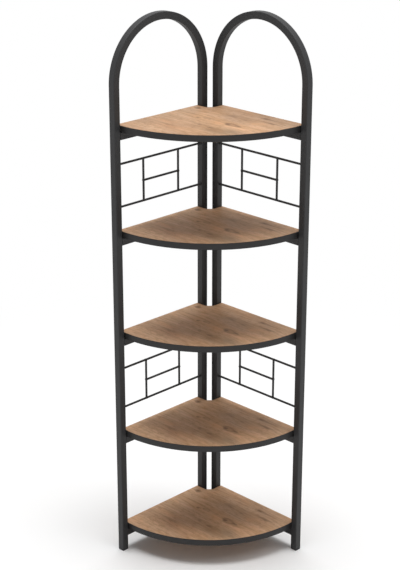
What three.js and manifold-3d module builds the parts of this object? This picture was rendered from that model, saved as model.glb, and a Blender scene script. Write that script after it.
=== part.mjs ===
// Corner shelf unit. Two side frames of bent square tube stand at a right angle in the
// corner of a room and carry five quarter-round shelves. Millimetres, +Z up. The origin is
// on the floor, in the middle of the square footprint. The room's corner is at -X, +Y, and
// the rounded front looks towards +X, -Y.

import * as THREE from 'three';
import { mergeVertices } from 'three/addons/utils/BufferGeometryUtils.js';
import Module from 'manifold-3d';

const wasm = await Module();
wasm.setup();

// Overall sizes
const height = 1500;
const footprint = 364;
const cornerGap = 28.5;

// Square tube of the frames
const tubeSide = 20;
const tubeWall = 1.5;
const tubeCornerRadius = 2;

// Heights of the lowest and the highest shelf. The shares divide the rise between them
// into the four bays, from the top one down.
const lowestShelfTop = 81;
const topShelfDrop = 271;
const bayShares = [0.2475, 0.248, 0.2535, 0.251];

// Shelf boards
const boardThickness = 18;
const boardLegClearance = 0.5;
const rearCornerCut = 16;
const frontEdgeSetback = 2.5;

// Dark band glued round the boards' curved edge
const bandThickness = 1.2;
const bandArris = 0.5;
const glueLine = 0.3;

// Grilles of round bar, each centred in the open height of its bay
const rodDiameter = 6;
const middleRodDrop = 59.7;
const grilleDepth = 115;
const rearUprightInset = 82.5;
const uprightSpacing = 126.5;
const weldGap = 0.3;

// Screws that rise through the middle of the rails into the boards
const screwDiameter = 4;
const screwHeadDiameter = 8;
const screwHeadHeight = 2.4;
const screwTipLength = 4;
const screwBite = 12;
const screwClearance = 0.3;
const headCrownShare = 0.6;
const headRimShare = 0.4;

// Plastic plugs in the feet
const plugFlangeHeight = 3;
const plugStemHeight = 14;
const plugStemWall = 2;
const plugFit = 0.3;

// Facets of the round forms
const bendSteps = 40;
const cornerSteps = 3;
const frontEdgeSteps = 48;
const rodSides = 16;
const screwSides = 16;

// A cut runs this far past the face that it opens
const cutOverrun = 1;
const mergeTolerance = 0.001;

// Places that follow from the sizes above
const rearLegFace = cornerGap + tubeSide;
const frontLegFace = footprint - tubeSide;
const bendRadius = (footprint - cornerGap - tubeSide) / 2;
const springHeight = height - tubeSide / 2 - bendRadius;
const railCentreDrop = boardThickness + tubeSide / 2;
const bandHeight = boardThickness - 2 * bandArris;
const bandOuterRadius = footprint - 2 * tubeSide - frontEdgeSetback;
const boardRadius = bandOuterRadius - bandThickness - glueLine;
const boardRear = rearLegFace + boardLegClearance;
const rearUpright = rearLegFace + rearUprightInset;
const frontUpright = rearUpright + uprightSpacing;
const screwPlace = (rearLegFace + frontLegFace) / 2;

// Tops of the shelves, from the highest one down
const stackHeight = height - topShelfDrop - lowestShelfTop;
const shelfTops = [0, 1, 2, 3, 4].map((k) => (
  lowestShelfTop + stackHeight * (1 - bayShares.slice(0, k).reduce((sum, share) => sum + share, 0))
));

// Height of a grille's top rod in the bay under shelf k
function grilleTop(k) {
  const railUnderside = shelfTops[k] - boardThickness - tubeSide;
  return (railUnderside + shelfTops[k + 1] + grilleDepth) / 2;
}

const grilles = [
  { level: 'upper', top: grilleTop(0) },
  { level: 'lower', top: grilleTop(2) },
];

const powderCoat = { color: 0x3b3b3d, roughness: 0.55, metalness: 0.35 };
const woodDecor = { color: 0xb58b68, roughness: 0.6, metalness: 0 };
const edgeBand = { color: 0x343436, roughness: 0.5, metalness: 0 };
const blackPlastic = { color: 0x1b1b1c, roughness: 0.6, metalness: 0 };
const zincPlate = { color: 0x9a9c9e, roughness: 0.35, metalness: 0.9 };

// A closed geometry as a solid that can be joined and cut
function toSolid(geometry) {
  const bare = geometry.clone();
  bare.deleteAttribute('normal');
  bare.deleteAttribute('uv');
  const welded = mergeVertices(bare, mergeTolerance);
  return new wasm.Manifold(new wasm.Mesh({
    numProp: 3,
    vertProperties: welded.attributes.position.array,
    triVerts: Uint32Array.from(welded.index.array),
  }));
}

function toGeometry(solid) {
  const { vertProperties, triVerts } = solid.getMesh();
  const geometry = new THREE.BufferGeometry();
  geometry.setAttribute('position', new THREE.BufferAttribute(vertProperties, 3));
  geometry.setIndex(new THREE.BufferAttribute(triVerts, 1));
  geometry.computeVertexNormals();
  return geometry;
}

function cut(geometry, cutters) {
  const start = toSolid(geometry);
  const rest = cutters.reduce((solid, cutter) => solid.subtract(toSolid(cutter)), start);
  return toGeometry(rest);
}

function addMesh(group, name, geometry, finish) {
  const mesh = new THREE.Mesh(geometry, new THREE.MeshStandardMaterial(finish));
  mesh.name = name;
  group.add(mesh);
  return mesh;
}

// Outline of a square with rounded corners, centred on zero
function roundedSquare(side, radius) {
  const inner = side / 2 - radius;
  const outline = new THREE.Shape();
  outline.absarc(inner, inner, radius, 0, Math.PI / 2);
  outline.absarc(-inner, inner, radius, Math.PI / 2, Math.PI);
  outline.absarc(-inner, -inner, radius, Math.PI, 1.5 * Math.PI);
  outline.absarc(inner, -inner, radius, 1.5 * Math.PI, 2 * Math.PI);
  outline.closePath();
  return outline;
}

function square(side) {
  const half = side / 2;
  const outline = new THREE.Path();
  outline.moveTo(-half, -half);
  outline.lineTo(half, -half);
  outline.lineTo(half, half);
  outline.lineTo(-half, half);
  outline.closePath();
  return outline;
}

// Section of the square tube, with its bore
function tubeSection() {
  const section = roundedSquare(tubeSide, tubeCornerRadius);
  section.holes.push(square(tubeSide - 2 * tubeWall));
  return section;
}

// Centre line of an arch, in its own plane: up the rear leg, round the half circle and
// down the front leg. Its stations are the two feet and even steps of the bend.
class ArchPath extends THREE.Curve {
  constructor(footHeight, steps) {
    super();
    this.footHeight = footHeight;
    this.stations = steps + 2;
    this.steps = steps;
  }

  bendAngle(share) {
    const turned = (share * this.stations - 1) / this.steps;
    return Math.PI * (1 - THREE.MathUtils.clamp(turned, 0, 1));
  }

  getPointAt(share, target = new THREE.Vector3()) {
    const angle = this.bendAngle(share);
    const middle = (cornerGap + footprint) / 2;
    const fromFoot = Math.min(share, 1 - share) * this.stations;
    const rise = THREE.MathUtils.lerp(this.footHeight, springHeight, Math.min(fromFoot, 1));
    const bendRise = fromFoot < 1 ? 0 : bendRadius * Math.sin(angle);
    return target.set(middle + bendRadius * Math.cos(angle), 0, rise + bendRise);
  }

  getTangentAt(share, target = new THREE.Vector3()) {
    const angle = this.bendAngle(share);
    return target.set(Math.sin(angle), 0, -Math.cos(angle));
  }
}

function archTube() {
  const path = new ArchPath(plugFlangeHeight, bendSteps);
  return new THREE.ExtrudeGeometry(tubeSection(), {
    steps: path.stations,
    curveSegments: cornerSteps,
    bevelEnabled: false,
    extrudePath: path,
  });
}

// Plug pushed into a leg: a flange under the tube and a hollow stem in its bore
function footPlug() {
  const flange = new THREE.ExtrudeGeometry(roundedSquare(tubeSide, tubeCornerRadius), {
    depth: plugFlangeHeight,
    curveSegments: cornerSteps,
    bevelEnabled: false,
  });
  const stemSide = tubeSide - 2 * tubeWall - 2 * plugFit;
  const stemOutline = new THREE.Shape(square(stemSide).getPoints());
  stemOutline.holes.push(square(stemSide - 2 * plugStemWall));
  const stem = new THREE.ExtrudeGeometry(stemOutline, {
    depth: plugStemHeight,
    bevelEnabled: false,
  });
  stem.translate(0, 0, plugFlangeHeight);
  return toGeometry(toSolid(flange).add(toSolid(stem)));
}

function screwHole(x, y, bottom, depth) {
  const radius = screwDiameter / 2 + screwClearance;
  const hole = new THREE.CylinderGeometry(radius, radius, depth, screwSides);
  hole.rotateX(Math.PI / 2);
  hole.translate(x, y, bottom + depth / 2);
  return hole;
}

// Rail between the legs under one shelf, open at both ends, with a hole for its screw
function rail() {
  const length = frontLegFace - rearLegFace;
  const tube = new THREE.ExtrudeGeometry(tubeSection(), {
    depth: length,
    curveSegments: cornerSteps,
    bevelEnabled: false,
  });
  tube.rotateY(Math.PI / 2);
  tube.translate(rearLegFace, 0, 0);
  const holeLength = tubeSide + 2 * cutOverrun;
  return cut(tube, [screwHole(screwPlace, 0, -holeLength / 2, holeLength)]);
}

function levelRod(from, to, radius = rodDiameter / 2) {
  const rod = new THREE.CylinderGeometry(radius, radius, to - from, rodSides);
  rod.rotateZ(Math.PI / 2);
  rod.translate((from + to) / 2, 0, 0);
  return rod;
}

function uprightRod(bottom, top, radius = rodDiameter / 2) {
  const rod = new THREE.CylinderGeometry(radius, radius, top - bottom, rodSides);
  rod.rotateX(Math.PI / 2);
  rod.translate(0, 0, (bottom + top) / 2);
  return rod;
}

// Upright of a grille, hollowed at both ends to sit on the level rods
function copedUpright() {
  const reach = rodDiameter / 2 + weldGap;
  const seats = [0, -grilleDepth].map((z) => (
    levelRod(-rodDiameter, rodDiameter, reach).translate(0, 0, z)
  ));
  return cut(uprightRod(-grilleDepth, 0), seats);
}

// Short middle rod of a grille, hollowed at both ends to sit on the uprights
function copedMiddleRod() {
  const reach = rodDiameter / 2 + weldGap;
  const seats = [rearUpright, frontUpright].map((x) => (
    uprightRod(-rodDiameter, rodDiameter, reach).translate(x, 0, 0)
  ));
  return cut(levelRod(rearUpright, frontUpright), seats);
}

function addGrille(frame, side, { level, top }) {
  const name = (piece) => `${side}_${level}_${piece}`;
  const span = () => levelRod(rearLegFace, frontLegFace);
  addMesh(frame, name('top_rod'), span(), powderCoat).position.z = top;
  addMesh(frame, name('bottom_rod'), span(), powderCoat).position.z = top - grilleDepth;
  addMesh(frame, name('middle_rod'), copedMiddleRod(), powderCoat).position.z = top - middleRodDrop;
  addMesh(frame, name('rear_upright'), copedUpright(), powderCoat).position.set(rearUpright, 0, top);
  addMesh(frame, name('front_upright'), copedUpright(), powderCoat).position.set(frontUpright, 0, top);
}

// One side frame in its own plane: X runs from the room's corner to the front leg, and the
// middle of the tube lies at Y = 0
function sideFrame(side) {
  const frame = new THREE.Group();
  addMesh(frame, `${side}_arch_tube`, archTube(), powderCoat);
  const legs = [
    { leg: 'rear', x: rearLegFace - tubeSide / 2 },
    { leg: 'front', x: frontLegFace + tubeSide / 2 },
  ];
  for (const { leg, x } of legs) {
    addMesh(frame, `${side}_${leg}_foot_plug`, footPlug(), blackPlastic).position.x = x;
  }
  shelfTops.forEach((top, k) => {
    const centre = top - railCentreDrop;
    addMesh(frame, `${side}_rail_${k + 1}`, rail(), powderCoat).position.z = centre;
    const seat = centre - tubeSide / 2;
    addMesh(frame, `${side}_shelf_screw_${k + 1}`, screw(), zincPlate).position.set(screwPlace, 0, seat);
  });
  for (const grille of grilles) {
    addGrille(frame, side, grille);
  }
  return frame;
}

// The boards' curved edge has its centre in line with the frames' inner faces. An arc about
// it runs this far past the quarter turn at each end, to the outer faces of the frames.
function overrunAngle(radius) {
  return Math.asin(tubeSide / radius);
}

// Board outline from above. Zero is the room's corner, and Y grows towards the right-hand
// wall, so the board lies at +X, -Y. It is a quarter disc whose straight edges reach the
// outer faces of the frames and whose rear corner is cut back between the rear legs.
function boardOutline() {
  const overrun = overrunAngle(boardRadius);
  const outline = new THREE.Shape();
  outline.moveTo(boardRear, 0);
  outline.lineTo(boardRear, rearCornerCut - boardRear);
  outline.lineTo(boardRear - rearCornerCut, -boardRear);
  outline.lineTo(0, -boardRear);
  outline.absarc(tubeSide, -tubeSide, boardRadius, -Math.PI / 2 - overrun, overrun);
  outline.closePath();
  return outline;
}

function board() {
  const blank = new THREE.ExtrudeGeometry(boardOutline(), {
    depth: boardThickness,
    curveSegments: frontEdgeSteps / 2,
    bevelEnabled: false,
  });
  const railMiddle = tubeSide / 2;
  const depth = screwBite + screwClearance + cutOverrun;
  const pilots = [
    screwHole(railMiddle, -screwPlace, -cutOverrun, depth),
    screwHole(screwPlace, -railMiddle, -cutOverrun, depth),
  ];
  return cut(blank, pilots).translate(0, 0, -boardThickness);
}

// Band along the whole curved edge, with its ends flush with the boards' straight edges
function frontBand() {
  const innerRadius = bandOuterRadius - bandThickness;
  const outerOverrun = overrunAngle(bandOuterRadius);
  const innerOverrun = overrunAngle(innerRadius);
  const outline = new THREE.Shape();
  outline.absarc(0, 0, bandOuterRadius, -Math.PI / 2 - outerOverrun, outerOverrun);
  outline.absarc(0, 0, innerRadius, innerOverrun, -Math.PI / 2 - innerOverrun, true);
  outline.closePath();
  const band = new THREE.ExtrudeGeometry(outline, {
    depth: bandHeight,
    curveSegments: frontEdgeSteps / 2,
    bevelEnabled: false,
  });
  return band.translate(tubeSide, -tubeSide, -bandArris - bandHeight);
}

// Pan-head screw with the underside of its head at zero and its tip up
function screw() {
  const radius = screwDiameter / 2;
  const headRadius = screwHeadDiameter / 2;
  const length = tubeSide + screwBite;
  const profile = [
    [0, -screwHeadHeight],
    [headRadius * headCrownShare, -screwHeadHeight],
    [headRadius, -screwHeadHeight * headRimShare],
    [headRadius, 0],
    [radius, 0],
    [radius, length - screwTipLength],
    [0, length],
  ].map(([x, y]) => new THREE.Vector2(x, y));
  return new THREE.LatheGeometry(profile, screwSides).rotateX(Math.PI / 2);
}

const shelfUnit = new THREE.Group();

const rightFrame = sideFrame('right');
rightFrame.position.set(-footprint / 2, footprint / 2 - tubeSide / 2, 0);
shelfUnit.add(rightFrame);

const leftFrame = sideFrame('left');
leftFrame.rotation.z = -Math.PI / 2;
leftFrame.position.set(-footprint / 2 + tubeSide / 2, footprint / 2, 0);
shelfUnit.add(leftFrame);

const shelves = new THREE.Group();
shelves.position.set(-footprint / 2, footprint / 2, 0);
shelfTops.forEach((top, k) => {
  addMesh(shelves, `shelf_panel_${k + 1}`, board(), woodDecor).position.z = top;
  addMesh(shelves, `front_band_${k + 1}`, frontBand(), edgeBand).position.z = top;
});
shelfUnit.add(shelves);

export default shelfUnit;
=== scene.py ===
"""Corner shelf unit: two arched frames of square tube and five quarter-round shelves.

Metres, +Z up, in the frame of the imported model. The room's corner is at -X, +Y.
"""
import math
from collections import namedtuple

import bmesh
import bpy
from mathutils import Matrix, Vector


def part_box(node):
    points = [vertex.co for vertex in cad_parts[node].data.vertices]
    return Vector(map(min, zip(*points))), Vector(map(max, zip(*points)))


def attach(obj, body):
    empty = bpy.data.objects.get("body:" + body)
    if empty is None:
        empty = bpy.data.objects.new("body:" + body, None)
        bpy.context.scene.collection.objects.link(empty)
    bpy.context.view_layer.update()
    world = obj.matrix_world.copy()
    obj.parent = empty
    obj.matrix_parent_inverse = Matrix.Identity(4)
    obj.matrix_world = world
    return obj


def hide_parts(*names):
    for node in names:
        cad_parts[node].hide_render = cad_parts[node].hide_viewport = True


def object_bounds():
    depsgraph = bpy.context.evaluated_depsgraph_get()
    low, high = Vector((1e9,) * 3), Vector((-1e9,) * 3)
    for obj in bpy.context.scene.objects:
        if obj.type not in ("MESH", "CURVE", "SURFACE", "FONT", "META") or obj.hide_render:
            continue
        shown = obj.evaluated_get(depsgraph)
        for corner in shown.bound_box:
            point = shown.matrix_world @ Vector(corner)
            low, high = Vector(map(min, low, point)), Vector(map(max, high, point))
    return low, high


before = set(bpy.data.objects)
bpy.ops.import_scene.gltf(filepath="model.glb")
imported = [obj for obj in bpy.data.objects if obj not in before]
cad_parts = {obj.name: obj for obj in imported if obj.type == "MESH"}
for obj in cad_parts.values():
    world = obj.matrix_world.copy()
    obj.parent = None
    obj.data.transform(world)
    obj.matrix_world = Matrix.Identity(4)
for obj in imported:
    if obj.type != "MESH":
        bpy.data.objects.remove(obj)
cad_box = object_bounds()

MM = 0.001
low, high = cad_box

# Sizes read from the frame
tube_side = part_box("left_rail_1")[1].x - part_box("left_rail_1")[0].x
flange_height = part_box("left_arch_tube")[0].z
rod_radius = (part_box("left_upper_top_rod")[1].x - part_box("left_upper_top_rod")[0].x) / 2

# Sizes of the solids that their boxes don't give. The boards begin at board_rear from the
# room's corner, just past the rear legs, and rear_cut takes off the corner between those legs.
tube_corner = 2.0 * MM
tube_wall = 1.5 * MM
board_rear = 49.0 * MM
rear_cut = 16.0 * MM
band_thickness = 1.2 * MM
plug_fit = 0.3 * MM
plug_stem_wall = 2.0 * MM

# Finer shapes, which only the finished pieces have
board_arris = 0.4 * MM
band_edge = 0.35 * MM
plug_round = 0.8 * MM
socket_across = 3.0 * MM
socket_depth = 1.4 * MM
weld_reach = 2.2 * MM
weld_swell = 0.9 * MM

# How far a weld swells, as shares of weld_swell at even steps along its reach
weld_outline = (1.0, 0.45, 0.12, 0.0)

# A screw head from the socket's rim to the rail, as shares of its radius and of its height
screw_head_outline = ((0.55, 1.0), (0.8, 0.88), (0.95, 0.6), (1.0, 0.3), (1.0, 0.0))

# Steps in the round shapes
corner_steps = 4
bend_steps = 96
arc_steps = 96
turned_steps = 24
edge_steps = 3
arris_steps = 2

# Corners nearer to each other than this are merged
merge_distance = 0.001 * MM

# Each side frame is made in its own plane: X runs from the room's corner to the front leg
# and the middle of the tube lies at Y = 0. These matrices stand it against its wall.
right_wall = Matrix.Translation((low.x, high.y - tube_side / 2, 0))
left_wall = Matrix.Translation((low.x + tube_side / 2, high.y, 0))
planes = {
    "right": right_wall,
    "left": left_wall @ Matrix.Rotation(-math.pi / 2, 4, "Z"),
}

Span = namedtuple("Span", "near far bottom top")


def span_of(side, node):
    """A node's reach in its frame's own plane: from the room's corner, and up from the floor."""
    start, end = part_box(node)
    if side == "right":
        return Span(start.x - low.x, end.x - low.x, start.z, end.z)
    return Span(high.y - end.y, high.y - start.y, start.z, end.z)


# Ways of shaping


def shift(bm, offset):
    bmesh.ops.translate(bm, verts=bm.verts, vec=offset)


def quarter_turn(bm, axis):
    bmesh.ops.rotate(bm, verts=bm.verts, cent=(0, 0, 0), matrix=Matrix.Rotation(math.pi / 2, 3, axis))


def ease(bm, geom, reach, steps, affect="EDGES"):
    """Rounds edges, or the corners of a face."""
    bmesh.ops.bevel(bm, geom=geom, offset=reach, offset_type="OFFSET", segments=steps,
                    profile=0.5, affect=affect, material=-1)


def rounded_square(bm):
    """The tube's outer outline as a face in the XY plane, centred on zero."""
    made = bmesh.ops.create_grid(bm, x_segments=1, y_segments=1, size=tube_side / 2)
    ease(bm, made["verts"], tube_corner, corner_steps, affect="VERTICES")
    return bm.faces[:]


def tube_end(bm):
    """The cut end of the square tube, in the XY plane: a ring of faces as wide as its wall."""
    bore = rounded_square(bm)
    bmesh.ops.inset_region(bm, faces=bore, thickness=tube_wall, use_boundary=True, use_even_offset=True)
    bmesh.ops.delete(bm, geom=bore, context="FACES")
    return bm.faces[:]


def moved_end(bm, faces, offset):
    """Draws an end face, or ring of faces, out by offset and returns the new end."""
    made = bmesh.ops.extrude_face_region(bm, geom=faces)["geom"]
    bmesh.ops.translate(bm, verts=[v for v in made if isinstance(v, bmesh.types.BMVert)], vec=offset)
    return [f for f in made if isinstance(f, bmesh.types.BMFace)]


def raised(bm, face, height):
    """Draws a face, given in a list, up or down by height and returns it in its new place."""
    made = bmesh.ops.extrude_discrete_faces(bm, faces=face)["faces"]
    bmesh.ops.translate(bm, verts=made[0].verts[:], vec=(0, 0, height))
    return made


def turned(bm, outline):
    """Spins an outline, given as radius and height, all round the Z axis."""
    verts = [bm.verts.new((radius, 0, height)) for radius, height in outline]
    edges = [bm.edges.new(pair) for pair in zip(verts, verts[1:])]
    bmesh.ops.spin(bm, geom=verts + edges, cent=(0, 0, 0), axis=(0, 0, 1), angle=2 * math.pi,
                   steps=turned_steps, use_merge=True)


def finish_piece(bm, node, material, matrix=None, bend_angle=40):
    """Turns a bmesh into the object that stands for a node, in its place.

    Edges that bend by more than bend_angle, in degrees, stay sharp.
    """
    if matrix is not None:
        bm.transform(matrix)
    bmesh.ops.remove_doubles(bm, verts=bm.verts, dist=merge_distance)
    bmesh.ops.recalc_face_normals(bm, faces=bm.faces)
    name = f"finished_{node}"
    mesh = bpy.data.meshes.new(name)
    bm.to_mesh(mesh)
    bm.free()
    mesh.materials.append(material)
    mesh.shade_smooth()
    mesh.set_sharp_from_angle(angle=math.radians(bend_angle))
    piece = bpy.data.objects.new(name, mesh)
    flats = piece.modifiers.new("flat faces stay flat beside rounded edges", "WEIGHTED_NORMAL")
    flats.keep_sharp = True
    bpy.context.scene.collection.objects.link(piece)
    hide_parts(node)
    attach(piece, "root")


# Side frames


def arch_tube(side, material):
    """One tube from foot to foot: a straight leg, half a turn and the other leg."""
    node = f"{side}_arch_tube"
    span = span_of(side, node)
    radius = (span.far - span.near - tube_side) / 2
    spring = span.top - tube_side / 2 - radius
    leg = Vector((0, 0, spring - span.bottom))
    bm = bmesh.new()
    foot = tube_end(bm)
    shift(bm, (span.near + tube_side / 2, 0, span.bottom))
    bend_start = moved_end(bm, foot, leg)
    bend = bmesh.ops.spin(bm, geom=bend_start, cent=(span.near + tube_side / 2 + radius, 0, spring),
                          axis=(0, 1, 0), angle=math.pi, steps=bend_steps)
    bend_end = [f for f in bend["geom_last"] if isinstance(f, bmesh.types.BMFace)]
    moved_end(bm, bend_end, -leg)
    bmesh.ops.delete(bm, geom=bend_start + bend_end, context="FACES")
    finish_piece(bm, node, material, planes[side])


def rail(side, number, material):
    node = f"{side}_rail_{number}"
    span = span_of(side, node)
    bm = bmesh.new()
    end = tube_end(bm)
    quarter_turn(bm, "Y")
    shift(bm, (span.near, 0, (span.bottom + span.top) / 2))
    moved_end(bm, end, Vector((span.far - span.near, 0, 0)))
    finish_piece(bm, node, material, planes[side])


def round_bar(bm, radius, length, weld_at):
    """A bar along Z from zero, swollen at both ends where it is welded on.

    weld_at is how deep the swelling starts: a bar that ends on another bar's middle line
    shows its weld only outside that bar.
    """
    end = [(0, 0), (radius + weld_swell, 0)]
    for i, share in enumerate(weld_outline):
        end.append((radius + weld_swell * share, weld_at + weld_reach * i / (len(weld_outline) - 1)))
    turned(bm, end + [(reach, length - height) for reach, height in reversed(end)])


def level_rod(side, level, place, material, weld_at=0.0):
    node = f"{side}_{level}_{place}_rod"
    span = span_of(side, node)
    radius = (span.top - span.bottom) / 2
    bm = bmesh.new()
    round_bar(bm, radius, span.far - span.near + 2 * weld_at, weld_at)
    quarter_turn(bm, "Y")
    shift(bm, (span.near - weld_at, 0, (span.bottom + span.top) / 2))
    finish_piece(bm, node, material, planes[side])


def upright(side, level, place, material, weld_at):
    node = f"{side}_{level}_{place}_upright"
    span = span_of(side, node)
    radius = (span.far - span.near) / 2
    bm = bmesh.new()
    round_bar(bm, radius, span.top - span.bottom + 2 * weld_at, weld_at)
    shift(bm, ((span.near + span.far) / 2, 0, span.bottom - weld_at))
    finish_piece(bm, node, material, planes[side])


def foot_plug(side, leg, material):
    """A moulded plug: a rounded flange under the tube and a hollow stem up its bore."""
    node = f"{side}_{leg}_foot_plug"
    span = span_of(side, node)
    stem_height = span.top - flange_height
    bm = bmesh.new()
    bottom = rounded_square(bm)
    top = moved_end(bm, bottom, Vector((0, 0, flange_height)))
    ease(bm, bottom[0].edges[:], plug_round, edge_steps)
    bmesh.ops.inset_individual(bm, faces=top, thickness=tube_wall + plug_fit)
    stem = raised(bm, top, stem_height)
    bmesh.ops.inset_individual(bm, faces=stem, thickness=plug_stem_wall)
    raised(bm, stem, -stem_height)
    shift(bm, ((span.near + span.far) / 2, 0, 0))
    finish_piece(bm, node, material, planes[side], bend_angle=30)


def screw(side, number, material):
    """Pan-head screw with a six-sided socket, its head under the rail."""
    node = f"{side}_shelf_screw_{number}"
    span = span_of(side, node)
    rail_bottom = span_of(side, f"{side}_rail_{number}").bottom
    head_radius = (span.far - span.near) / 2
    head_height = rail_bottom - span.bottom
    shank_radius = head_radius / 2
    tip = 2 * shank_radius
    length = span.top - rail_bottom
    bm = bmesh.new()
    head = [(head_radius * width, -head_height * depth) for width, depth in screw_head_outline]
    turned(bm, head + [(shank_radius, 0), (shank_radius, length - tip), (0, length)])
    bmesh.ops.remove_doubles(bm, verts=bm.verts, dist=merge_distance)
    rim = [e for e in bm.edges if e.is_boundary]
    socket = bmesh.ops.contextual_create(bm, geom=rim)["faces"]
    # Any small inset will do, because its corners then move onto the socket's six flats.
    bmesh.ops.inset_individual(bm, faces=socket, thickness=head_radius / 10)
    for vert in socket[0].verts:
        from_flat = math.atan2(vert.co.y, vert.co.x) % (math.pi / 3) - math.pi / 6
        vert.co.xy = vert.co.xy.normalized() * (socket_across / 2 / math.cos(from_flat))
    raised(bm, socket, socket_depth)
    shift(bm, ((span.near + span.far) / 2, 0, rail_bottom))
    finish_piece(bm, node, material, planes[side], bend_angle=30)


# Shelves


def arc_start(centre, radius):
    """The left end of a curved edge, where it meets the outer face of the left frame."""
    return centre + Vector((-tube_side, -math.sqrt(radius ** 2 - tube_side ** 2), 0))


def arc_angle(radius):
    """The turn from there to the outer face of the right frame."""
    return math.pi / 2 + 2 * math.asin(tube_side / radius)


def board(number, material):
    """A quarter-disc board with its rear corner cut back between the rear legs."""
    node = f"shelf_panel_{number}"
    start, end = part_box(node)
    centre = Vector((low.x + tube_side, high.y - tube_side, end.z))
    radius = end.x - centre.x
    cut_start = board_rear - rear_cut
    rear_outline = [(board_rear, 0), (board_rear, cut_start), (cut_start, board_rear), (0, board_rear)]
    bm = bmesh.new()
    rear = [bm.verts.new((low.x + along, high.y - across, end.z)) for along, across in rear_outline]
    first = bm.verts.new(arc_start(centre, radius))
    arc = bmesh.ops.spin(bm, geom=[first], cent=centre, axis=(0, 0, 1), angle=arc_angle(radius),
                         steps=arc_steps)
    last = arc["geom_last"][0]
    for pair in [*zip(rear, rear[1:]), (rear[-1], first), (last, rear[0])]:
        bm.edges.new(pair)
    top = bmesh.ops.contextual_create(bm, geom=bm.edges[:])["faces"]
    moved_end(bm, top, Vector((0, 0, start.z - end.z)))
    bmesh.ops.recalc_face_normals(bm, faces=bm.faces)
    level_edges = [e for e in bm.edges if abs(e.verts[0].co.z - e.verts[1].co.z) < board_arris]
    ease(bm, level_edges, board_arris, arris_steps)
    finish_piece(bm, node, material, bend_angle=35)


def front_band(number, material):
    """The dark band round the board's curved edge, with eased long edges."""
    node = f"front_band_{number}"
    start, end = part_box(node)
    centre = Vector((low.x + tube_side, high.y - tube_side, (start.z + end.z) / 2))
    outer = end.x - centre.x
    bm = bmesh.new()
    section = bmesh.ops.create_grid(bm, x_segments=1, y_segments=1, size=0.5)["verts"]
    bmesh.ops.scale(bm, verts=section, vec=(band_thickness, end.z - start.z, 1))
    ease(bm, [v for v in bm.verts if v.co.x > 0], band_edge, edge_steps, affect="VERTICES")
    quarter_turn(bm, "X")
    shift(bm, centre + Vector((outer - band_thickness / 2, 0, 0)))
    overrun = math.asin(tube_side / outer)
    bmesh.ops.rotate(bm, verts=bm.verts, cent=centre, matrix=Matrix.Rotation(overrun, 3, "Z"))
    bmesh.ops.spin(bm, geom=bm.faces[:], cent=centre, axis=(0, 0, -1), angle=arc_angle(outer),
                   steps=arc_steps)
    finish_piece(bm, node, material, bend_angle=35)


# Nodes of the finishes


class Number:
    """A number that varies over the surface. Sums and products of numbers become Math nodes."""

    def __init__(self, nodes, socket):
        self.nodes = nodes
        self.socket = socket

    def math(self, operation, *operands):
        return self.nodes.number("ShaderNodeMath", {"operation": operation}, dict(enumerate(operands)))

    def __add__(self, other):
        return self.math("ADD", self, other)

    def __sub__(self, other):
        return self.math("SUBTRACT", self, other)

    def __rsub__(self, other):
        return self.math("SUBTRACT", other, self)

    def __mul__(self, other):
        return self.math("MULTIPLY", self, other)

    def __truediv__(self, other):
        return self.math("DIVIDE", self, other)

    def __pow__(self, other):
        return self.math("POWER", self, other)

    __radd__ = __add__
    __rmul__ = __mul__

    def size(self):
        return self.math("ABSOLUTE", self)

    def root(self):
        return self.math("SQRT", self)

    def exponent(self):
        return self.math("EXPONENT", self)

    def at_least(self, other):
        return self.math("MAXIMUM", self, other)

    def at_most(self, other):
        return self.math("MINIMUM", self, other)

    def ramped(self, start, end):
        """0 at start, 1 at end, smooth between them and level beyond them."""
        return self.nodes.number("ShaderNodeMapRange", {"interpolation_type": "SMOOTHSTEP"},
                                 {"Value": self, "From Min": start, "From Max": end})


class Nodes:
    """The nodes of a material or of the world."""

    def __init__(self, owner):
        owner.use_nodes = True
        self.tree = owner.node_tree
        self.tree.nodes.clear()

    def node(self, kind, settings=None, inputs=None):
        """Adds a node: first its settings, then the values or links of its sockets."""
        node = self.tree.nodes.new(kind)
        for key, value in (settings or {}).items():
            setattr(node, key, value)
        for key, value in (inputs or {}).items():
            self.feed(node.inputs[key], value)
        return node

    def feed(self, socket, value):
        source = value.socket if isinstance(value, Number) else value
        if isinstance(source, bpy.types.NodeSocket):
            self.tree.links.new(source, socket)
        else:
            socket.default_value = source

    def number(self, kind, settings=None, inputs=None):
        return Number(self, self.node(kind, settings, inputs).outputs[0])

    def seen(self):
        """1 for what the camera sees, also in a reflection or through glass, and 0 for the rest."""
        rays = self.node("ShaderNodeLightPath")
        by_camera = Number(self, rays.outputs["Is Camera Ray"])
        by_gloss = Number(self, rays.outputs["Is Glossy Ray"])
        through_glass = Number(self, rays.outputs["Is Transmission Ray"])
        return by_camera.at_least(by_gloss).at_least(through_glass)


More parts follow.
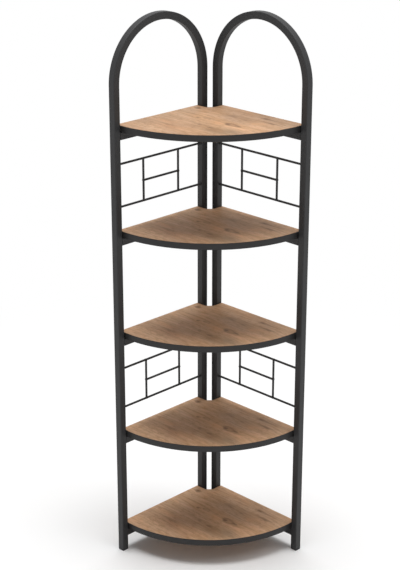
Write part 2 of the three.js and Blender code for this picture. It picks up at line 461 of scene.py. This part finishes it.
class Finish(Nodes):
    """A material, its Principled shader and the nodes that feed it."""

    def __init__(self, name, constants):
        self.material = bpy.data.materials.new(name)
        super().__init__(self.material)
        self.shader = self.node("ShaderNodeBsdfPrincipled", inputs=constants)
        self.output = self.node("ShaderNodeOutputMaterial", inputs={"Surface": self.shader.outputs["BSDF"]})

    def place(self):
        """Where a point lies, in millimetres from the object's origin."""
        coordinates = self.node("ShaderNodeTexCoord")
        split = self.node("ShaderNodeSeparateXYZ", inputs={0: coordinates.outputs["Object"]})
        return [Number(self, socket) / MM for socket in split.outputs]

    def lean(self):
        """How far a face looks up: 1 on level tops, 0 on upright faces, -1 on undersides."""
        coordinates = self.node("ShaderNodeTexCoord")
        split = self.node("ShaderNodeSeparateXYZ", inputs={0: coordinates.outputs["Normal"]})
        return Number(self, split.outputs[2])

    def noise(self, x, y, z, detail=2.0, roughness=0.5):
        """Soft random spots between 0 and 1, about one unit across.

        Each coordinate is a length over the size of the spots. In a flat pattern the third is
        a plain number, which sets the pattern apart from the others.
        """
        point = self.node("ShaderNodeCombineXYZ", inputs={0: x, 1: y, 2: z})
        return self.number("ShaderNodeTexNoise", inputs={
            "Vector": point.outputs[0], "Scale": 1.0, "Detail": detail, "Roughness": roughness})

    def mix(self, share, first, second):
        """The first colour, with the second over a share of it."""
        return self.node("ShaderNodeMix", {"data_type": "RGBA"}, {0: share, 6: first, 7: second}).outputs[2]

    def layered(self, colour, *layers):
        """Lays tones over a colour, one after the other, each with the share that it covers."""
        for share, tone in layers:
            colour = self.mix(share, colour, tone)
        return colour

    def scaled(self, colour, red, green, blue):
        """A colour with its three parts multiplied by numbers of their own."""
        factors = self.node("ShaderNodeCombineXYZ", inputs={0: red, 1: green, 2: blue})
        product = self.node("ShaderNodeVectorMath", {"operation": "MULTIPLY"},
                            {0: colour, 1: factors.outputs[0]})
        return product.outputs[0]

    def surface(self, colour, roughness, relief, depth):
        """Feeds the shader its colour and roughness, and a relief that is depth high where it is 1."""
        self.feed(self.shader.inputs["Base Color"], colour)
        self.feed(self.shader.inputs["Roughness"], roughness)
        bump = self.node("ShaderNodeBump", inputs={"Height": relief, "Distance": depth})
        self.feed(self.shader.inputs["Normal"], bump.outputs[0])
        return self.material


def rgb(red, green, blue):
    """A colour as it shows on screen, 0 to 255, made linear."""
    def linear(value):
        share = value / 255
        return share / 12.92 if share <= 0.04045 else ((share + 0.055) / 1.055) ** 2.4
    return (linear(red), linear(green), linear(blue), 1.0)


# Metal and plastic finishes


def powder_coat():
    """Anthracite powder coat: fine orange peel, slight changes of tone and gloss."""
    finish = Finish("anthracite powder coat", {"Specular IOR Level": 0.36})
    x, y, z = finish.place()
    cloud = finish.noise(x / 90, y / 90, z / 130, detail=3.0)
    grit = finish.noise(x / 0.9, y / 0.9, z / 0.9)
    peel = finish.noise(x / 3.2, y / 3.2, z / 3.2, detail=1.0)
    colour = finish.mix(cloud.ramped(0.3, 0.7), rgb(43, 43, 44), rgb(49, 49, 50))
    colour = finish.mix(grit.ramped(0.55, 0.85) * 0.35, colour, rgb(68, 68, 70))
    roughness = 0.42 + cloud * 0.1 + grit * 0.08
    return finish.surface(colour, roughness, relief=grit * 0.6 + peel * 0.8, depth=0.05 * MM)


def edge_band():
    """Dark plastic edging with a faint lengthwise brush."""
    finish = Finish("dark edge band", {"Specular IOR Level": 0.35})
    x, y, z = finish.place()
    lines = finish.noise(x / 40, y / 40, z / 0.7, detail=3.0)
    cloud = finish.noise(x / 60, y / 60, z / 60)
    colour = finish.mix(lines.ramped(0.35, 0.7), rgb(38, 37, 37), rgb(45, 44, 44))
    roughness = 0.42 + lines * 0.1 + cloud * 0.06
    return finish.surface(colour, roughness, relief=lines, depth=0.04 * MM)


def moulded_black():
    """Black moulded plastic with a fine spark texture."""
    finish = Finish("black moulded plastic", {"IOR": 1.5})
    x, y, z = finish.place()
    grain = finish.noise(x / 0.6, y / 0.6, z / 0.6)
    scuff = finish.noise(x / 7, y / 7, z / 3, detail=3.0)
    colour = finish.mix(scuff.ramped(0.55, 0.8) * 0.5, rgb(26, 26, 27), rgb(52, 51, 50))
    roughness = 0.5 + grain * 0.15 + scuff * 0.1
    return finish.surface(colour, roughness, relief=grain, depth=0.05 * MM)


def zinc():
    """Zinc-plated steel, a little blotchy."""
    finish = Finish("zinc-plated steel", {"Metallic": 1.0})
    x, y, z = finish.place()
    bloom = finish.noise(x / 2.5, y / 2.5, z / 2.5, detail=3.0)
    colour = finish.mix(bloom.ramped(0.4, 0.7), rgb(190, 192, 196), rgb(160, 160, 158))
    return finish.surface(colour, 0.28 + bloom * 0.2, relief=bloom, depth=0.02 * MM)


# Wood decor

# Places are in millimetres from the room's corner: along the grain, which runs with the
# right-hand wall, and across it. Lengths and widths are half sizes.

Knot = namedtuple("Knot", "along across length width fill rim")
Part = namedtuple("Part", "along across length width change")

# Knots and dark streaks, with how dark each one and its rim are
knots = [
    Knot(25, 71, 9, 7, 0.9, 0.6),
    Knot(28, 99, 5, 3, 0.5, 0),
    Knot(250, 31, 44, 5, 0.45, 0),
    Knot(232, 31, 12, 6, 0.5, 0),
    Knot(280, 56, 30, 6.5, 0.65, 0),
    Knot(211, 136, 21, 11, 0.4, 0.7),
    Knot(200, 139, 10, 8, 0.75, 0),
    Knot(234, 136, 13, 5.5, 0.6, 0),
    Knot(96, 142, 7, 5, 0.75, 0.3),
    Knot(121, 133, 12, 6, 0.25, 0.5),
    Knot(152, 69, 17, 9, 0.35, 0.2),
    Knot(206, 78, 8, 4, 0.45, 0),
    Knot(150, 191, 9, 5, 0.5, 0),
    Knot(192, 194, 13, 7, 0.55, 0),
    Knot(226, 208, 30, 15, 0.35, 0.3),
    Knot(96, 246, 28, 5, 0.3, 0),
]

# Where the grain swirls: its short waves are larger there by so many millimetres
swirls = [Part(215, 198, 42, 25.2, 18)]

# Paler sapwood
sapwood_parts = [
    Part(72, 296, 60, 22, 1),
    Part(322, 30, 26, 40, 1),
]

# Broad lighter and darker parts, with the share of the tone that is added there
shades = [
    Part(234, 25, 119, 41, -0.28),
    Part(43, 149, 71, 22, 0.18),
    Part(231, 138, 69, 29, 0.36),
    Part(264, 67, 46, 31, 0.28),
    Part(83, 99, 19, 45, 0.15),
    Part(208, 112, 43, 37, -0.22),
    Part(262, 184, 30, 16, -0.27),
    Part(124, 266, 30, 16, -0.23),
    Part(33, 263, 57, 21, -0.14),
    Part(157, 191, 43, 40, -0.10),
    Part(42, 293, 43, 17, 0.07),
]

# Parts that are redder and less blue than the rest, or greyer where the change is negative
warm_parts = [
    Part(115, 256, 62, 27, 0.09),
    Part(248, 204, 46, 34, -0.08),
    Part(12, 165, 50, 80, -0.05),
]

# A board's surface is an upright edge up to the first lean, and a level face from the second
edge_lean = 0.35
face_lean = 0.65

# Distances from a knot's middle, in half sizes: a stain is full at stain_full and ends at
# stain_end, the rim is darkest at rim_at, and raggedness is how far the outline wanders
stain_full = 0.1
stain_end = 1.25
rim_at = 0.9
rim_sharpness = 12
raggedness = 1.1

# The grain bends round a knot by this share of the knot's width, and less with the distance
bend_share = 0.6
bend_fade = 0.35

# How far the grain wanders, in millimetres: in long waves, and in short ones
long_drift = 22
short_drift = 4


def sum_of(parts, along, across):
    """Adds up the changes of soft round parts, each one full in its middle."""
    total = 0.0
    for part in parts:
        down = (along - part.along) / part.length
        over = (across - part.across) / part.width
        total = ((down * down + over * over) * -1).exponent() * part.change + total
    return total


def around_knots(along, across, ragged):
    """How far the knots bend the grain, in millimetres, and how strong their stains and rims are."""
    bend = 0.0
    stain = 0.0
    rims = 0.0
    for knot in knots:
        down = (along - knot.along) / knot.length
        over = (across - knot.across) / knot.width
        distance = (down * down + over * over).root()
        near = (distance * distance * -bend_fade).exponent()
        bend = near * over * (knot.width * bend_share * max(knot.fill, knot.rim)) + bend
        edge = distance + ragged
        stain = edge.ramped(stain_end, stain_full) * knot.fill + stain
        if knot.rim:
            rims = ((edge - rim_at) ** 2 * -rim_sharpness).exponent() * knot.rim + rims
    return bend, stain, rims


def wood_decor():
    """Rustic board decor: long grain that bends round knots, with a fine open pore.

    On the boards' straight edges it is a strip whose grain runs with the edge, and the
    undersides have a greyer backing.
    """
    finish = Finish("rustic wood decor", {"Specular IOR Level": 0.2})
    x, y, z = finish.place()
    along = x - low.x / MM
    across = high.y / MM - y
    lean = finish.lean()
    face = lean.size().ramped(edge_lean, face_lean)
    edge_strip = 1 - face
    underside = lean.ramped(-edge_lean, -face_lean)

    def patches(length, width, layer, detail=2.0, roughness=0.5):
        """Spots that keep their place on the board. Each layer number gives other spots."""
        return finish.noise(along / length, across / width, layer, detail, roughness)

    ragged = (patches(18, 6, layer=2.3) - 0.5) * raggedness
    bend, stain, rims = around_knots(along, across, ragged)
    swirl = sum_of(swirls, along, across)
    long_waves = (patches(150, 55, layer=1.7, detail=1.0) - 0.5) * long_drift
    short_waves = (patches(60, 16, layer=4.1) - 0.5) * (short_drift + swirl)
    drift = short_waves + long_waves
    grain = (across - bend + drift) * face + z * edge_strip
    run = along - across * edge_strip

    def streaks(length, width, layer, detail=3.0, roughness=0.6):
        """Spots that follow the grain. Each layer number gives other spots."""
        return finish.noise(run / length, grain / width, layer, detail, roughness)

    broad = streaks(150, 28, layer=3.1, roughness=0.5)
    bands = streaks(90, 6.5, layer=5.3, detail=4.0)
    lines = streaks(70, 2.0, layer=6.1)
    fibre = streaks(45, 0.65, layer=7.9)
    pore = streaks(9, 0.3, layer=9.2, detail=2.0, roughness=0.5)
    warm = patches(55, 42, layer=11.4)
    ash = patches(85, 55, layer=13.6)
    mottle = patches(17, 8, layer=15.2, detail=3.0, roughness=0.65)
    sapwood = sum_of(sapwood_parts, along, grain)

    colour = finish.mix(broad.ramped(0.3, 0.7), rgb(220, 179, 144), rgb(195, 153, 115))
    colour = finish.layered(
        colour,
        (ash.ramped(0.45, 0.75) * 0.4, rgb(184, 153, 129)),
        (warm.ramped(0.5, 0.75) * 0.5, rgb(219, 166, 122)),
        (sapwood.at_most(1.0) * 0.5, rgb(228, 190, 154)),
        (mottle.ramped(0.46, 0.76) * 0.6, rgb(160, 116, 80)),
        (bands.ramped(0.42, 0.75) * 0.5, rgb(152, 114, 78)),
        (lines.ramped(0.45, 0.75) * 0.5, rgb(149, 111, 77)),
        (fibre.ramped(0.5, 0.8) * 0.36, rgb(137, 100, 69)),
    )
    level = 1 + sum_of(shades, along, across) * face
    warmth = sum_of(warm_parts, along, across) * face
    colour = finish.scaled(colour, level + warmth, level, level - warmth)
    colour = finish.layered(
        colour,
        ((stain * (0.75 + lines * 0.4)).at_most(0.9) * face, rgb(108, 76, 47)),
        ((rims * (0.3 + bands * 0.6)).at_most(0.8) * face, rgb(106, 73, 44)),
        (pore.ramped(0.62, 0.78) * 0.35, rgb(112, 80, 56)),
        (underside * 0.6, rgb(142, 121, 107)),
    )
    roughness = 0.5 + fibre * 0.12 - pore * 0.05
    relief = pore.ramped(0.7, 0.5) * 0.7 + fibre * 0.5
    return finish.surface(colour, roughness, relief, depth=0.08 * MM)


# The unit

coat = powder_coat()
wood = wood_decor()
banding = edge_band()
plastic = moulded_black()
plating = zinc()

# The shelves are numbered from the top
shelf_numbers = range(1, 6)

for side in ("left", "right"):
    arch_tube(side, coat)
    for leg in ("rear", "front"):
        foot_plug(side, leg, plastic)
    for number in shelf_numbers:
        rail(side, number, coat)
        screw(side, number, plating)
    for level in ("upper", "lower"):
        level_rod(side, level, "top", coat)
        level_rod(side, level, "bottom", coat)
        level_rod(side, level, "middle", coat, weld_at=rod_radius)
        for place in ("rear", "front"):
            upright(side, level, place, coat, weld_at=rod_radius)
for number in shelf_numbers:
    board(number, wood)
    front_band(number, banding)


# Floor, light and camera

white = (1, 1, 1, 1)
floor_reach = 40.0
ambient_level = 0.24

# Millimetres from the middle of the unit to where the floor starts to fade and where it is white
fade_start = 450
fade_end = 2000

# The pinhole camera that was fitted to the photograph
picture_height = 570
focal_pixels = 1484.0
camera_azimuth = math.radians(44.956)
camera_elevation = math.radians(20.70)
camera_distance = 4.1954
camera_target = Vector((-0.2009, 0.1631, 0.7002))
camera_reach = 100.0


def studio_floor():
    """A pale floor that fades to white round the unit and keeps its shadow."""
    mesh = bpy.data.meshes.new("floor")
    bm = bmesh.new()
    bmesh.ops.create_grid(bm, x_segments=1, y_segments=1, size=floor_reach)
    bm.to_mesh(mesh)
    bm.free()
    floor = bpy.data.objects.new("floor", mesh)
    bpy.context.scene.collection.objects.link(floor)
    finish = Finish("pale floor", {
        "Base Color": rgb(250, 250, 250), "Roughness": 0.9, "Specular IOR Level": 0.0})
    x, y, _ = finish.place()
    away = (x * x + y * y).root()
    faded = away.ramped(fade_start, fade_end) * finish.seen()
    glow = finish.node("ShaderNodeEmission", inputs={"Color": white, "Strength": 1.0})
    blend = finish.node("ShaderNodeMixShader", inputs={
        0: faded, 1: finish.shader.outputs["BSDF"], 2: glow.outputs[0]})
    finish.feed(finish.output.inputs["Surface"], blend.outputs[0])
    mesh.materials.append(finish.material)


def studio_world():
    """White where the camera or a reflection sees it, and a plain ambient light elsewhere."""
    world = bpy.data.worlds.new("studio")
    nodes = Nodes(world)
    level = nodes.number("ShaderNodeMapRange", inputs={"Value": nodes.seen(), "To Min": ambient_level})
    backdrop = nodes.node("ShaderNodeBackground", inputs={"Color": white, "Strength": level})
    nodes.node("ShaderNodeOutputWorld", inputs={"Surface": backdrop.outputs[0]})
    bpy.context.scene.world = world


def soft_light(name, strength, spread, comes_from):
    """A distant light from one direction. Its spread, in degrees, softens the shadows."""
    lamp = bpy.data.lights.new(name, "SUN")
    lamp.energy = strength
    lamp.angle = math.radians(spread)
    light = bpy.data.objects.new(name, lamp)
    light.rotation_euler = Vector(comes_from).to_track_quat("Z", "Y").to_euler()
    bpy.context.scene.collection.objects.link(light)


def photograph_camera():
    """Looks at the unit as the photograph does.

    The picture is upright, so the sensor's width spans its height.
    """
    level = math.cos(camera_elevation)
    back = Vector((math.sin(camera_azimuth) * level, -math.cos(camera_azimuth) * level,
                   math.sin(camera_elevation)))
    camera = bpy.data.objects.new("camera", bpy.data.cameras.new("camera"))
    camera.data.lens = camera.data.sensor_width * focal_pixels / picture_height
    camera.data.clip_end = camera_reach
    camera.location = camera_target + back * camera_distance
    camera.rotation_euler = (-back).to_track_quat("-Z", "Y").to_euler()
    bpy.context.scene.collection.objects.link(camera)
    bpy.context.scene.camera = camera


photograph_camera()
studio_floor()
studio_world()
soft_light("overhead light", strength=2.35, spread=38, comes_from=(-0.05, 0, 1))
soft_light("side light", strength=0.55, spread=40, comes_from=(0.48, 0.22, 0.85))

bpy.context.scene.view_settings.view_transform = "Standard"
